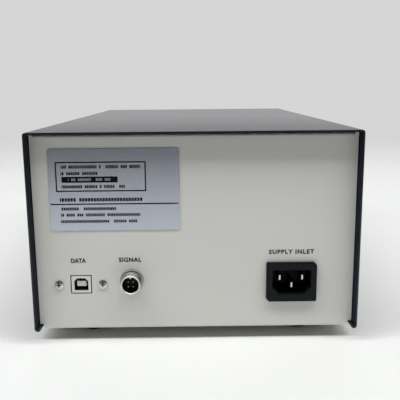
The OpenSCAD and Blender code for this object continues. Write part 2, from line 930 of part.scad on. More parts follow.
module key_switches() {
    bore = key_stem_len - key_travel - switch_nose_gap + key_travel + past / 2;
    color(black_plastic) for (i = [0:len(key_names) - 1]) on_key(i) difference() {
        block(switch_body_w, switch_body_w, key_board_front, switch_front);
        translate([0, 0, switch_front - bore]) cylinder(r = key_stem_r + fit_gap, h = bore + past);
    }
}

module key_post_places() {
    for (sx = [-1, 1], sy = [-1, 1]) translate([
        sx * (key_board_w / 2 - key_post_in), sy * (key_board_h / 2 - key_post_in), 0
    ]) children();
}

module key_board() {
    color(board_green) on_front(keypad_x, keypad_z) difference() {
        slab(key_board_w, key_board_h, board_r, key_board_front - board_t, key_board_front);
        key_post_places() translate([0, 0, key_board_front - board_t - past])
            cylinder(r = post_bore_r, h = board_t + 2 * past);
    }
}

module key_spacers() {
    color(zinc) on_front(keypad_x, keypad_z) key_post_places() difference() {
        translate([0, 0, key_board_front])
            cylinder(r = key_post_r, h = -chassis_t - key_board_front);
        translate([0, 0, key_board_front - past])
            cylinder(r = post_bore_r, h = small_screw_len + past);
    }
}

// The screws that hold the display board and the key board on their spacers
module panel_board_screws() {
    color(zinc) {
        on_front(display_x, display_z) display_post_places()
            translate([0, 0, display_back - board_t]) mirror([0, 0, 1])
                pan_screw(small_screw_r, small_screw_len, small_head_r, small_head_h);
        on_front(keypad_x, keypad_z) key_post_places()
            translate([0, 0, key_board_front - board_t]) mirror([0, 0, 1])
                pan_screw(small_screw_r, small_screw_len, small_head_r, small_head_h);
    }
}

// Power switch: the rocker turns about local x, at rest with its lower end pressed in
module power_switch_housing() {
    body_w = switch_w - 2 * switch_lap - 2 * switch_body_gap;
    body_h = switch_h - 2 * switch_lap - 2 * switch_body_gap;
    swing_r = rocker_r + rocker_clear;
    bay_w = rocker_w + 2 * rocker_clear;
    color(black_plastic) on_front(switch_x, switch_z) difference() {
        union() {
            slab(switch_w, switch_h, switch_corner_r, 0, switch_flange_t);
            block(body_w, body_h, -switch_body_deep, past / 2);
        }
        translate([-bay_w / 2, 0, rocker_axis]) rotate([0, 90, 0]) cylinder(r = swing_r, h = bay_w);
        translate([-rocker_w / 2 - pivot_len - rocker_clear, 0, rocker_axis]) rotate([0, 90, 0])
            cylinder(r = pivot_r + slip, h = rocker_w + 2 * pivot_len + 2 * rocker_clear);
    }
}

// The rocker's side view about its axis: two faces that meet in a shallow valley
module rocker_profile() {
    reach = 2 * rocker_r;
    rise = reach * tan(rocker_tilt);
    intersection() {
        circle(rocker_r);
        polygon([
            [-reach, -rocker_tail], [reach, -rocker_tail], [reach, rocker_valley + rise],
            [0, rocker_valley], [-reach, rocker_valley + rise]
        ]);
    }
}

module power_rocker() {
    color(black_plastic) on_front(switch_x, switch_z) translate([0, 0, rocker_axis])
        rotate([rocker_tilt, 0, 0]) {
            translate([-rocker_w / 2, 0, 0]) rotate([90, 0, 90])
                linear_extrude(rocker_w) rocker_profile();
            translate([-rocker_w / 2 - pivot_len, 0, 0]) rotate([0, 90, 0])
                cylinder(r = pivot_r, h = rocker_w + 2 * pivot_len);
        }
}

module power_switch_terminals() {
    color(brass) on_front(switch_x, switch_z) for (side = [-1, 1])
        translate([0, side * terminal_pitch / 2, 0])
            block(terminal_w, terminal_t, -switch_body_deep - terminal_len, -switch_body_deep);
}

// Main board
module board_hole_places() {
    for (sx = [-1, 1], sy = [-1, 1]) translate([
        board_x + sx * (board_w / 2 - board_hole_in), board_y + sy * (board_d / 2 - board_hole_in), 0
    ]) children();
}

module main_board() {
    color(board_green) difference() {
        translate([board_x, board_y, 0]) slab(board_w, board_d, board_r, board_z, board_top);
        board_hole_places() translate([0, 0, board_z - past])
            cylinder(r = m3_hole_r, h = board_t + 2 * past);
    }
}

module main_board_standoffs() {
    color(brass) board_hole_places() translate([0, 0, floor_z]) difference() {
        hex(standoff_w, standoff_h);
        translate([0, 0, -past]) cylinder(r = m3_r + slip, h = standoff_h + 2 * past);
    }
}

// One screw from above the board and one from below the base at each standoff
module main_board_screws() {
    grip = standoff_h / 2 - past / 2;
    color(zinc) board_hole_places() {
        translate([0, 0, board_top]) pan_screw(m3_r, board_t + grip, m3_head_r, m3_head_h);
        translate([0, 0, base_z]) mirror([0, 0, 1])
            pan_screw(m3_r, chassis_t + grip, m3_head_r, m3_head_h);
    }
}

module heatsink() {
    pitch = (sink_w - fin_t) / (fins - 1);
    color([0.15, 0.15, 0.16]) translate([sink_x, sink_y, board_top]) {
        translate([-sink_w / 2, 0, 0]) cube([sink_w, sink_base_t, sink_h]);
        for (i = [0:fins - 1]) translate([i * pitch - sink_w / 2, 0, 0])
            cube([fin_t, sink_d, sink_h]);
    }
}

module power_transistor() {
    color(black_plastic)
        translate([sink_x - transistor_w / 2, sink_y - transistor_t, board_top + transistor_lift])
            cube([transistor_w, transistor_t, transistor_h]);
}

module smoothing_capacitors() {
    color([0.10, 0.12, 0.25]) for (i = [0, 1])
        translate([capacitor_x, capacitor_y - i * capacitor_pitch, board_top])
            cylinder(r = capacitor_r, h = capacitor_h);
}

module processor() {
    color(black_plastic) translate([board_x, board_y, 0])
        block(chip_w, chip_w, board_top, board_top + chip_t);
}

// Transformer
module transformer_hole_places() {
    for (side = [-1, 1])
        translate([core_x + side * (core_w / 2 + frame_t + ear_reach / 2), core_y, 0]) children();
}

module transformer_core() {
    window_h = core_h - 2 * winding_end;
    color(core_steel) translate([core_x, core_y, transformer_z]) difference() {
        translate([-core_w / 2, -core_stack / 2, 0]) cube([core_w, core_stack, core_h]);
        for (side = [-1, 1])
            translate([side * core_w / 4 - core_w / 12, -core_stack / 2 - past, winding_end])
                cube([core_w / 6, core_stack + 2 * past, window_h]);
    }
}

// The coil fills the core's two windows and stands out before and behind them
module transformer_winding() {
    window_h = core_h - 2 * winding_end;
    outer_w = 2 * core_w / 3;
    color(copper) translate([core_x, core_y, transformer_z + winding_end]) difference() {
        translate([0, 0, slip]) linear_extrude(window_h - 2 * slip)
            rounded_rect(outer_w - 2 * slip, core_stack + 2 * winding_proud, winding_side);
        translate([-core_w / 6 - slip, -core_stack / 2 - slip, -past])
            cube([core_w / 3 + 2 * slip, core_stack + 2 * slip, window_h + 2 * past]);
    }
}

// A strap over the core with an ear at each foot
module transformer_frame() {
    inner = core_w / 2;
    top = core_h + frame_t;
    color(zinc) difference() {
        translate([core_x, core_y - core_stack / 2, floor_z]) {
            for (side = [0, 1]) mirror([side, 0, 0]) {
                translate([inner, 0, 0]) cube([frame_t, core_stack, top + frame_t]);
                translate([inner, 0, 0]) cube([frame_t + ear_reach, core_stack, frame_t]);
            }
            translate([-inner, 0, top]) cube([2 * inner, core_stack, frame_t]);
            translate([-inner, 0, 0]) cube([2 * inner, core_stack, frame_t]);
        }
        transformer_hole_places() translate([0, 0, floor_z - past])
            cylinder(r = m3_r + slip, h = frame_t + 2 * past);
    }
}

module transformer_screws() {
    color(zinc) transformer_hole_places() translate([0, 0, base_z]) mirror([0, 0, 1])
        pan_screw(m3_r, chassis_t + frame_t + past, m3_head_r, m3_head_h);
}

// Leads
function unit(v) = v / norm(v);

// The path with each inner corner eased by a parabola
function soft_path(p) = [
    p[0],
    for (i = [1:len(p) - 2])
        let (a = p[i] + lead_soft * unit(p[i - 1] - p[i]), b = p[i] + lead_soft * unit(p[i + 1] - p[i]))
            for (k = [0:lead_steps])
                let (s = k / lead_steps)
                    (1 - s) * (1 - s) * a + 2 * s * (1 - s) * p[i] + s * s * b,
    p[len(p) - 1]
];

// A round lead along a path: a ring of points at each step, joined by triangles
module lead(points, r) {
    path = soft_path(points);
    last = len(path) - 1;
    m = lead_sides;
    ring_points = [
        for (i = [0:last])
            let (t = unit(path[min(i + 1, last)] - path[max(i - 1, 0)]))
                let (u = unit(cross(t, lead_reference)))
                    let (v = cross(t, u))
                        for (k = [0:m - 1])
                            path[i] + r * (cos(360 * k / m) * u + sin(360 * k / m) * v)
    ];
    near_faces = [
        for (i = [0:last - 1], k = [0:m - 1])
            [i * m + k, i * m + m + k, i * m + m + (k + 1) % m]
    ];
    far_faces = [
        for (i = [0:last - 1], k = [0:m - 1])
            [i * m + k, i * m + m + (k + 1) % m, i * m + (k + 1) % m]
    ];
    start_face = [for (k = [0:m - 1]) k];
    end_face = [for (k = [0:m - 1]) last * m + m - 1 - k];
    polyhedron(ring_points, concat(near_faces, far_faces, [start_face], [end_face]));
}

// From the inlet's tabs along the left side and the front to the power switch
module mains_lead() {
    start_y = rear_y + inlet_back - inlet_tab_len - fit_gap;
    turn_y = start_y - mains_lead_turn;
    start_z = base_z + inlet_z;
    end_y = -rear_y + switch_body_deep + terminal_len + fit_gap;
    end_z = base_z + switch_z;
    color([0.25, 0.25, 0.26]) lead([
        [-inlet_x, start_y, start_z],
        [-inlet_x, turn_y, start_z],
        [mains_lead_x, turn_y, start_z],
        [mains_lead_x, turn_y, mains_lead_z],
        [mains_lead_x, mains_lead_y, mains_lead_z],
        [switch_x, mains_lead_y, mains_lead_z],
        [switch_x, mains_lead_y, end_z],
        [switch_x, end_y, end_z]
    ], mains_lead_r);
}

// From a socket on the rear panel down to the main board's rear edge
module socket_lead(x, start_y, start_z, r) {
    edge_y = board_y + board_d / 2;
    land_z = board_top + r + slip;
    lead([
        [x, start_y, start_z],
        [x, start_y - lead_run, start_z],
        [x, edge_y + lead_ramp, land_z],
        [x, edge_y - lead_land, land_z]
    ], r);
}

module data_lead() {
    start_y = rear_y - data_sunk - data_depth - slip - carrier_wall - slip;
    color([0.2, 0.2, 0.21])
        socket_lead(-data_x, start_y, base_z + data_z, data_lead_r);
}

module sensor_lead() {
    start_y = rear_y - sensor_rear - sensor_pin_tail - slip;
    color([0.45, 0.45, 0.46])
        socket_lead(-sensor_x, start_y, base_z + sensor_z, sensor_lead_r);
}

// A flat cable from a board behind the front panel down to a plug on the main board
module ribbon(x, back_y, top_z) {
    plug_y = board_y - board_d / 2 + plug_in;
    plug_z = board_top + plug_h;
    translate([x - ribbon_w / 2, 0, 0]) {
        translate([0, back_y, top_z - ribbon_t])
            cube([ribbon_w, ribbon_drop_y - back_y, ribbon_t]);
        translate([0, ribbon_drop_y - ribbon_t, plug_z - ribbon_t])
            cube([ribbon_w, ribbon_t, top_z - plug_z + ribbon_t]);
        translate([0, ribbon_drop_y - ribbon_t, plug_z - ribbon_t])
            cube([ribbon_w, plug_y + plug_d / 2 - ribbon_drop_y + ribbon_t, ribbon_t]);
        translate([0, plug_y, board_top]) cube([ribbon_w, plug_d, plug_h]);
    }
}

module display_ribbon() {
    x = display_x + display_board_w / 2 - ribbon_w / 2 - ribbon_in;
    color([0.6, 0.6, 0.62])
        ribbon(x, -rear_y - display_back + board_t, base_z + display_z - view_h / 3);
}

module key_ribbon() {
    color([0.6, 0.6, 0.62])
        ribbon(keypad_x - key_pitch / 4, -rear_y - key_board_front + board_t, base_z + keypad_z - key_pitch);
}

chassis();
top_cover();
cover_screws();
foot(-1, -1);  // foot_front_left
foot(1, -1);  // foot_front_right
foot(-1, 1);  // foot_rear_left
foot(1, 1);  // foot_rear_right
foot_screws();
foot_nuts();
rating_plate();
inlet_housing();
inlet_line_pin();
inlet_neutral_pin();
inlet_earth_pin();
data_socket_shell();
data_socket_tongue();
data_socket_contacts();
data_socket_carrier();
data_socket_screws();
data_socket_nuts();
sensor_barrel();
sensor_insert();
sensor_pins();
sensor_washer();
sensor_nut();
display_window();
display_frame();
display_glass();
display_board();
display_spacers();
for (i = [0:len(key_names) - 1])
    key(i);
key_switches();
key_board();
key_spacers();
panel_board_screws();
power_switch_housing();
power_rocker();
power_switch_terminals();
main_board();
main_board_standoffs();
main_board_screws();
heatsink();
power_transistor();
smoothing_capacitors();
processor();
transformer_core();
transformer_winding();
transformer_frame();
transformer_screws();
mains_lead();
data_lead();
sensor_lead();
display_ribbon();
key_ribbon();
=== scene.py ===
"""Looks of a bench coating thickness gauge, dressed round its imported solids.

The folded cover and the threaded sensor barrel are new surfaces, the captions and signs are thin
raised ink, and every solid gets a node-based finish. Lengths are in millimetres unless a name or a
comment says otherwise, and become metres where a mesh is made.
"""

import json
import math

import bmesh
import bpy
import numpy as np
from mathutils import Matrix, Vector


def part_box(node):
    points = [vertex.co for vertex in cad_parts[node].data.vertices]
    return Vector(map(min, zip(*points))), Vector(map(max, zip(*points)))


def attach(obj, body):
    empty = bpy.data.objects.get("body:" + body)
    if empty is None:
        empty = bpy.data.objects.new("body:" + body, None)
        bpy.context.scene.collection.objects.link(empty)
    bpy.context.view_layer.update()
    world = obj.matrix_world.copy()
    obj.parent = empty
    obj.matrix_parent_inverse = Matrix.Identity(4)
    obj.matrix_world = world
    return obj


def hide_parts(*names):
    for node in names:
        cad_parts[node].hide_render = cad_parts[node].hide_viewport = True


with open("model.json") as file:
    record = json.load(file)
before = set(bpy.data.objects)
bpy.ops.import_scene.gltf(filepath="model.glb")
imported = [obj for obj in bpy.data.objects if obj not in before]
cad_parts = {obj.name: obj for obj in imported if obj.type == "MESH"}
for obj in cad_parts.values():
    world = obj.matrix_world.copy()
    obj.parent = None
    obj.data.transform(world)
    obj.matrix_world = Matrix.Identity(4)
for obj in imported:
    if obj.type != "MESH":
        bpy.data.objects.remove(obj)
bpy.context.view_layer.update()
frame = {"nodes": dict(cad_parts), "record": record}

MM = 0.001
MM_PER_M = 1000.0


def box_corners(node):
    """A solid's lowest and highest corners, in millimetres."""
    return [np.array(corner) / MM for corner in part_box(node)]


# Planes of the box, rounded to a micrometre: underside of the base, outer faces of the two panels,
# outside of the cover's walls
CHASSIS_LOW, CHASSIS_HIGH = np.round(box_corners("chassis"), 3)
BASE_Z = CHASSIS_LOW[2]
FRONT_Y = CHASSIS_LOW[1]
REAR_Y = CHASSIS_HIGH[1]
SIDE_X = np.round(box_corners("top_cover")[1][0], 3)


# Meshes

def grid_faces(rows, columns, wrap_rows=False, wrap_columns=False):
    """Quads between neighbouring rows and columns of a grid of points, closed round where asked."""
    i = np.arange(rows if wrap_rows else rows - 1)[:, None]
    k = np.arange(columns if wrap_columns else columns - 1)[None, :]
    i2, k2 = (i + 1) % rows, (k + 1) % columns
    quads = np.broadcast_arrays(i * columns + k, i2 * columns + k, i2 * columns + k2, i * columns + k2)
    return np.stack(quads, -1).reshape(-1, 4)


def make_piece(name, points, faces, material, body=None, sharp_deg=40.0):
    """A mesh object from points in millimetres, shaded smooth except along sharp edges."""
    mesh = bpy.data.meshes.new(name)
    mesh.from_pydata((np.asarray(points).reshape(-1, 3) * MM).tolist(), [], [list(f) for f in faces])
    mesh.update()
    mesh.shade_smooth()
    mesh.set_sharp_from_angle(angle=math.radians(sharp_deg))
    piece = bpy.data.objects.new(name, mesh)
    bpy.context.scene.collection.objects.link(piece)
    mesh.materials.append(material)
    if body:
        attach(piece, body)
    return piece


# Shader arithmetic

class Value:
    """A socket that takes part in Python arithmetic: each operator adds one Math node."""

    def __init__(self, finish, socket):
        self.finish = finish
        self.socket = socket

    def math(self, operation, first, second=0.0):
        return self.finish.node("ShaderNodeMath", {"operation": operation}, {0: first, 1: second})

    def __add__(self, other):
        return self.math("ADD", self, other)

    def __sub__(self, other):
        return self.math("SUBTRACT", self, other)

    def __rsub__(self, other):
        return self.math("SUBTRACT", other, self)

    def __mul__(self, other):
        return self.math("MULTIPLY", self, other)

    def __truediv__(self, other):
        return self.math("DIVIDE", self, other)

    def __rtruediv__(self, other):
        return self.math("DIVIDE", other, self)

    def __gt__(self, other):
        return self.math("GREATER_THAN", self, other)

    def __lt__(self, other):
        return self.math("LESS_THAN", self, other)

    def __or__(self, other):
        return self.math("MAXIMUM", self, other)

    def __abs__(self):
        return self.math("ABSOLUTE", self)

    def pingpong(self, half):
        """A number that runs from 0 up to half a period and back, over and over."""
        return self.math("PINGPONG", self, half)

    __radd__ = __add__
    __rmul__ = __mul__
    __ror__ = __or__


class Finish:
    """One material or world, built node by node, with its shader wired to the output."""

    def __init__(self, name, family="materials"):
        self.made = getattr(bpy.data, family).new(name)
        self.made.use_nodes = True
        self.tree = self.made.node_tree
        self.tree.nodes.clear()
        self.place = self.node("ShaderNodeTexCoord", out="Object")

    def node(self, kind, settings=None, sockets=None, out=0):
        """A node of that type, its settings put first, then the values or links of its sockets."""
        made = self.tree.nodes.new(kind)
        for key, value in (settings or {}).items():
            setattr(made, key, value)
        for key, value in (sockets or {}).items():
            if isinstance(value, Value):
                self.tree.links.new(value.socket, made.inputs[key])
            else:
                made.inputs[key].default_value = value
        return Value(self, made.outputs[out]) if made.outputs else None

    def axes(self):
        """The place on the object as three numbers, in millimetres."""
        parts = [self.node("ShaderNodeSeparateXYZ", sockets={0: self.place}, out=k) for k in range(3)]
        return [part * MM_PER_M for part in parts]

    def distance(self, middle, scale):
        """How far a place is from a middle point, in metres, with each axis scaled first."""
        moved = self.node("ShaderNodeMapping", sockets={
            "Vector": self.place, "Location": tuple(-c for c in middle), "Scale": scale})
        return self.node("ShaderNodeVectorMath", {"operation": "LENGTH"}, {0: moved}, out="Value")

    def noise(self, size_mm, detail=2.0, stretch=(1.0, 1.0, 1.0)):
        """Soft noise with features of about that size, drawn out along an axis by a small stretch."""
        place = self.node("ShaderNodeMapping", sockets={"Vector": self.place, "Scale": stretch})
        return self.node("ShaderNodeTexNoise", sockets={
            "Vector": place, "Scale": MM_PER_M / size_mm, "Detail": detail})

    def clamp(self, value):
        """A number held between 0 and 1."""
        return self.node("ShaderNodeClamp", sockets={0: value})

    def blend(self, factor, first, second):
        """One colour turning into another as the factor goes from 0 to 1."""
        return self.node("ShaderNodeMix", {"data_type": "RGBA"}, {0: factor, 6: first, 7: second}, out=2)

    def bump(self, height, depth_mm):
        """A normal that follows a height of 0 to 1 over that depth."""
        return self.node("ShaderNodeBump", sockets={
            "Strength": 1.0, "Distance": depth_mm * MM, "Height": height})

    def shader(self, **sockets):
        """A Principled shader, with underscores in socket names for spaces."""
        named = {key.replace("_", " "): value for key, value in sockets.items()}
        return self.node("ShaderNodeBsdfPrincipled", sockets=named)

    def surface(self, **sockets):
        """The finished material of one Principled shader."""
        return self.output("ShaderNodeOutputMaterial", self.shader(**sockets))

    def seen(self):
        """One for rays of the camera, of glossy surfaces and of clear ones, otherwise zero."""
        rays = [self.node("ShaderNodeLightPath", out=f"Is {ray} Ray")
                for ray in ("Camera", "Glossy", "Transmission")]
        return rays[0] | rays[1] | rays[2]

    def output(self, kind, shader):
        """Wires a shader to the output node and gives the finished material or world."""
        self.node(kind, sockets={"Surface": shader})
        return self.made


def rgb(red, green, blue):
    """A colour as it shows on screen, 0 to 255, turned into the linear value a shader takes."""
    shown = np.array([red, green, blue]) / 255.0
    linear = np.where(shown <= 0.04045, shown / 12.92, ((shown + 0.055) / 1.055) ** 2.4)
    return (*linear.tolist(), 1.0)


# Finishes

def powder_coat(name, colour, fleck, roughness, gloss, grain_mm, depth_mm):
    """Baked paint: a fine orange-peel skin over slow, faint drifts of tone."""
    f = Finish(name)
    drift_mm, swing = 60.0, 0.12
    drift = f.noise(drift_mm, 2.0)
    grain = f.noise(grain_mm, 3.0)
    return f.surface(
        Base_Color=f.blend(drift * 0.5 + grain * 0.35, colour, fleck),
        Specular_IOR_Level=gloss,
        Roughness=roughness - swing / 2 + grain * swing,
        Normal=f.bump(grain, depth_mm))


def plated_metal(name, colour, tarnish, roughness, stretch=(1.0, 1.0, 1.0)):
    """Plated metal: a bright skin with faint clouding and fine draw marks."""
    f = Finish(name)
    cloud_mm, mark_mm, mark_depth, polish, swing = 4.0, 0.35, 0.004, 0.05, 0.06
    cloud = f.noise(cloud_mm, 3.0)
    marks = f.noise(mark_mm, 2.0, stretch)
    return f.surface(
        Base_Color=f.blend(cloud * 0.6, colour, tarnish),
        Metallic=1.0,
        Roughness=roughness - polish + cloud * swing + marks * swing,
        Normal=f.bump(marks, mark_depth))


def recessed_screw(name, colour, axis, seat_mm):
    """A plated screw head with painted shade: dark in its cross recess and near the face it seats on."""
    f = Finish(name)
    rise = abs(f.axes()[axis]) - seat_mm
    shade_top, shade_run, cloud_mm, cloud_depth = 0.85, 0.3, 1.2, 0.006
    cloud = f.noise(cloud_mm, 2.0)
    return f.surface(
        # Painted shade: the colour turns dark within shade_top of the face the head seats on
        Base_Color=f.blend((shade_top - rise) / shade_run, colour, rgb(30, 29, 28)),
        Metallic=1.0,
        Roughness=0.24 + cloud * 0.12,
        Normal=f.bump(cloud, cloud_depth))


def moulded_plastic(name, colour, fleck, roughness, gloss=0.5, grain_mm=0.4, depth_mm=0.012):
    """Moulded plastic: the fine spark-eroded grain of the mould, a shade lighter on its peaks."""
    f = Finish(name)
    sheen_mm, swing = 12.0, 0.12
    grain = f.noise(grain_mm, 3.0)
    sheen = f.noise(sheen_mm, 2.0)
    return f.surface(
        Base_Color=f.blend(grain * 0.6, colour, fleck),
        Specular_IOR_Level=gloss,
        Roughness=roughness - swing / 2 + sheen * swing,
        Normal=f.bump(grain, depth_mm))


def threaded_nickel(name, axis_x, axis_z, flange_y, nose_y, bore, crest, groove):
    """Nickel on a screw thread: painted highlight on the nose and key, grey crests, painted shade below.
    """
    f = Finish(name)
    _, y, _ = f.axes()
    radius = f.distance((axis_x * MM, 0.0, axis_z * MM), (1.0, 0.0, 1.0)) * MM_PER_M
    painted_shade_depth, flange_painted_shade, key_edge, cloud_mm, cloud_depth = 0.25 * groove, 0.15, 0.15, 1.5, 0.01
    # Painted highlight: the nose and key keep the bright nickel, and everything behind them takes a greyer
    # copy
    behind = (y < nose_y) * (radius > bore - key_edge)
    # Painted shade in rgb(56, 54, 52): dark into the thread's grooves and the bore, and a little darker on
    # the flange
    sunk = (crest - radius) / painted_shade_depth * behind
    metal = f.blend(behind, rgb(222, 221, 218), rgb(168, 165, 160))
    cloud = f.noise(cloud_mm, 2.0)
    return f.surface(
        Base_Color=f.blend(sunk | (y < flange_y) * flange_painted_shade, metal, rgb(56, 54, 52)),
        Metallic=1.0,
        Roughness=0.30 + cloud * 0.1,
        Normal=f.bump(cloud, cloud_depth))


def socket_shell(name, front_y):
    """A drawn shell: bright on its front edge, and painted shade where it goes back out of the light."""
    f = Finish(name)
    _, y, _ = f.axes()
    fade, cloud_mm, cloud_depth = 0.25, 1.5, 0.006
    # Painted shade: behind the front edge the colour turns dark and the metal dull and rough
    inside = f.clamp((front_y - y) / fade)
    cloud = f.noise(cloud_mm, 2.0)
    return f.surface(
        Base_Color=f.blend(inside, rgb(206, 205, 200), rgb(16, 20, 18)),
        Metallic=1.0 - inside,
        Roughness=0.26 + cloud * 0.1 + inside * 0.3,
        Normal=f.bump(cloud, cloud_depth))


def clear_acrylic(name):
    """Clear sheet: a polished skin with the faintest waviness."""
    f = Finish(name)
    wave_mm, wave_depth = 25.0, 0.01
    wave = f.noise(wave_mm, 2.0)
    return f.surface(
        Base_Color=(0.93, 0.96, 0.97, 1.0),
        Roughness=wave * 0.03,
        Transmission_Weight=1.0,
        IOR=1.49,
        Normal=f.bump(wave, wave_depth))


def display_cell(name):
    """An unlit display: a dark grey-green field with its fine rows and columns just visible."""
    f = Finish(name)
    x, _, z = f.axes()
    pitch, contrast = 0.55, 1.2
    lines = x.pingpong(pitch / 2) | z.pingpong(pitch / 2)
    return f.surface(
        Base_Color=f.blend(lines * (contrast / pitch), rgb(74, 86, 78), rgb(62, 73, 67)),
        Roughness=0.18 + f.noise(8.0) * 0.08)


def printed_plate(name):
    """The silver plate and its print: a ruled box, a dark bar, a rule and rows of short dashes.

    Each mark is a box in the plate's own millimetres, u to the right as seen from behind and v
    up from the underside of the base. A row of dashes is cut into cells, of which a share chosen
    by white noise stays bare, as the spaces between words do.
    """
    f = Finish(name)
    x, _, z = f.axes()
    u, v = x * -1.0, z - BASE_Z

    def field(left, right, low, high):
        across = abs(u - (left + right) / 2) < (right - left) / 2
        upward = abs(v - (low + high) / 2) < (high - low) / 2
        return across * upward

    def dashes(left, right, middle, height, cell):
        half_dash, bare_share = 0.40, 0.14
        step = u / cell
        index = f.node("ShaderNodeMath", {"operation": "FLOOR"}, {0: step})
        part = step - index
        chance = f.node("ShaderNodeTexWhiteNoise", {"noise_dimensions": "2D"}, {
            "Vector": f.node("ShaderNodeCombineXYZ", sockets={0: index, 1: middle})})
        cut = (abs(part - 0.5) < half_dash) * (chance > bare_share)
        return field(left, right, middle - height / 2, middle + height / 2) * cut

    line, bar_print, rule_v = 0.8, 0.6, 80.2
    left, right, low, high = -83.5, -29.1, 87.85, 106.05
    frame_line = field(left, right, low, high) - field(left + line, right - line, low + line, high - line)
    dark_bar = field(-79.9, -46.2, 93.4, 97.0) - dashes(-76.0, -50.5, 95.2, 1.5, 1.35) * bar_print
    rule = field(-87.2, -9.9, rule_v - line / 2, rule_v + line / 2)
    ink = frame_line | dark_bar | rule
    # Left end, right end, middle height, height of the dashes and width of a cell of each row
    rows = [
        (-80.1, -32.3, 102.9, 1.90, 1.30),
        (-80.3, -57.9, 98.9, 1.80, 1.35),
        (-80.0, -42.0, 90.9, 1.80, 1.30),
        (-81.5, -31.5, 82.9, 2.15, 1.75),
        (-81.1, -47.7, 77.3, 1.80, 1.35),
        (-81.3, -33.1, 73.5, 1.80, 1.30),
        (-81.5, -35.0, 69.5, 1.75, 1.30)]
    for row in rows:
        ink = ink | dashes(*row)
    brush_mm, brush_depth, bare_metal = 0.5, 0.002, 0.78
    brushed = f.noise(brush_mm, 2.0, (0.03, 1.0, 1.0))
    foil = f.blend(brushed, rgb(184, 188, 200), rgb(193, 197, 208))
    return f.surface(
        Base_Color=f.blend(ink, foil, rgb(9, 10, 14)),
        Specular_IOR_Level=0.1,
        Metallic=bare_metal - ink * bare_metal,
        Roughness=0.235 + brushed * 0.03,
        Normal=f.bump(brushed, brush_depth))


def circuit_board(name):
    """Solder resist over copper: broad tracks show as a lighter green through it."""
    f = Finish(name)
    track_mm, track_depth = 2.2, 0.03
    lengthwise = f.noise(track_mm, 0.0, (1.0, 0.15, 1.0)) > 0.56
    crosswise = f.noise(track_mm, 0.0, (0.15, 1.0, 0.15)) > 0.58
    tracks = lengthwise | crosswise
    return f.surface(
        Base_Color=f.blend(tracks, rgb(18, 78, 46), rgb(38, 112, 66)),
        Roughness=0.38 + f.noise(6.0) * 0.1,
        Normal=f.bump(tracks, track_depth))


def wound_copper(name):
    """Varnished wire laid in turns along the coil's height."""
    f = Finish(name)
    _, _, z = f.axes()
    half_wire, wire_depth = 0.3, 0.15
    turn = z.pingpong(half_wire) / half_wire
    return f.surface(
        Base_Color=f.blend(turn, rgb(92, 44, 22), rgb(178, 98, 52)),
        Metallic=0.8,
        Roughness=0.34 + f.noise(5.0) * 0.1,
        Normal=f.bump(turn, wire_depth))


def stacked_steel(name):
    """Thin core plates stacked along the depth, varnished dark."""
    f = Finish(name)
    _, y, _ = f.axes()
    half_plate, seam_depth = 0.25, 0.06
    seam = y.pingpong(half_plate) / half_plate
    return f.surface(
        Base_Color=f.blend(f.noise(3.0) * 0.8, rgb(66, 68, 72), rgb(108, 106, 102)),
        Metallic=0.85,
        Roughness=0.42 + seam * 0.12,
        Normal=f.bump(seam, seam_depth))


def ribbed_cable(name):
    """Flat grey cable: its wires show as ridges across the width."""
    f = Finish(name)
    x, _, _ = f.axes()
    half_wire, ridge_depth = 0.635, 0.3
    wire = x.pingpong(half_wire) / half_wire
    return f.surface(
        Base_Color=f.blend(wire, rgb(120, 121, 124), rgb(168, 169, 172)),
        Roughness=0.45 + f.noise(4.0) * 0.1,
        Normal=f.bump(wire, ridge_depth))


FINISHES = {
    "cover_paint": powder_coat(
        "cover_paint", rgb(25, 29, 37), rgb(32, 36, 45), 0.21, gloss=0.3, grain_mm=0.9, depth_mm=0.005),
    # A darker, duller copy of cover_paint for the cover's inside faces: painted shade
    "cover_inside": powder_coat(
        "cover_inside", rgb(15, 20, 31), rgb(20, 26, 38), 0.40, gloss=0.04, grain_mm=0.9, depth_mm=0.005),
    "panel_paint": powder_coat(
        "panel_paint", rgb(213, 213, 208), rgb(219, 219, 214), 0.48, gloss=0.5, grain_mm=0.7,
        depth_mm=0.008),
    "zinc": plated_metal("zinc", rgb(205, 206, 206), rgb(168, 168, 164), 0.30),
    "nickel": plated_metal("nickel", rgb(214, 212, 206), rgb(182, 178, 170), 0.20),
    "brass": plated_metal("brass", rgb(226, 192, 118), rgb(188, 152, 84), 0.24),
    "foot_rubber": moulded_plastic(
        "foot_rubber", rgb(24, 24, 25), rgb(36, 36, 37), 0.72, grain_mm=0.8, depth_mm=0.03),
    "plate_silver": printed_plate("plate_silver"),
    "black_plastic": moulded_plastic("black_plastic", rgb(12, 17, 21), rgb(18, 23, 28), 0.45, gloss=0.15),
    "white_plastic": moulded_plastic("white_plastic", rgb(216, 218, 214), rgb(228, 229, 225), 0.45),
    "key_plastic": moulded_plastic("key_plastic", rgb(56, 60, 70), rgb(66, 70, 80), 0.50),
    "window": clear_acrylic("window"),
    "display": display_cell("display"),
    "board_green": circuit_board("board_green"),
    "sink_black": plated_metal(
        "sink_black", rgb(46, 46, 48), rgb(32, 32, 34), 0.45, stretch=(0.1, 1.0, 1.0)),
    "capacitor_sleeve": moulded_plastic("capacitor_sleeve", rgb(28, 34, 66), rgb(36, 43, 78), 0.30),
    "core_steel": stacked_steel("core_steel"),
    "coil_copper": wound_copper("coil_copper"),
    "lead_sheath": moulded_plastic("lead_sheath", rgb(58, 58, 60), rgb(70, 70, 72), 0.55),
    "ribbon_grey": ribbed_cable("ribbon_grey"),
    "caption_ink": moulded_plastic(
        "caption_ink", rgb(14, 14, 16), rgb(22, 22, 24), 0.55, grain_mm=0.25, depth_mm=0.004),
}
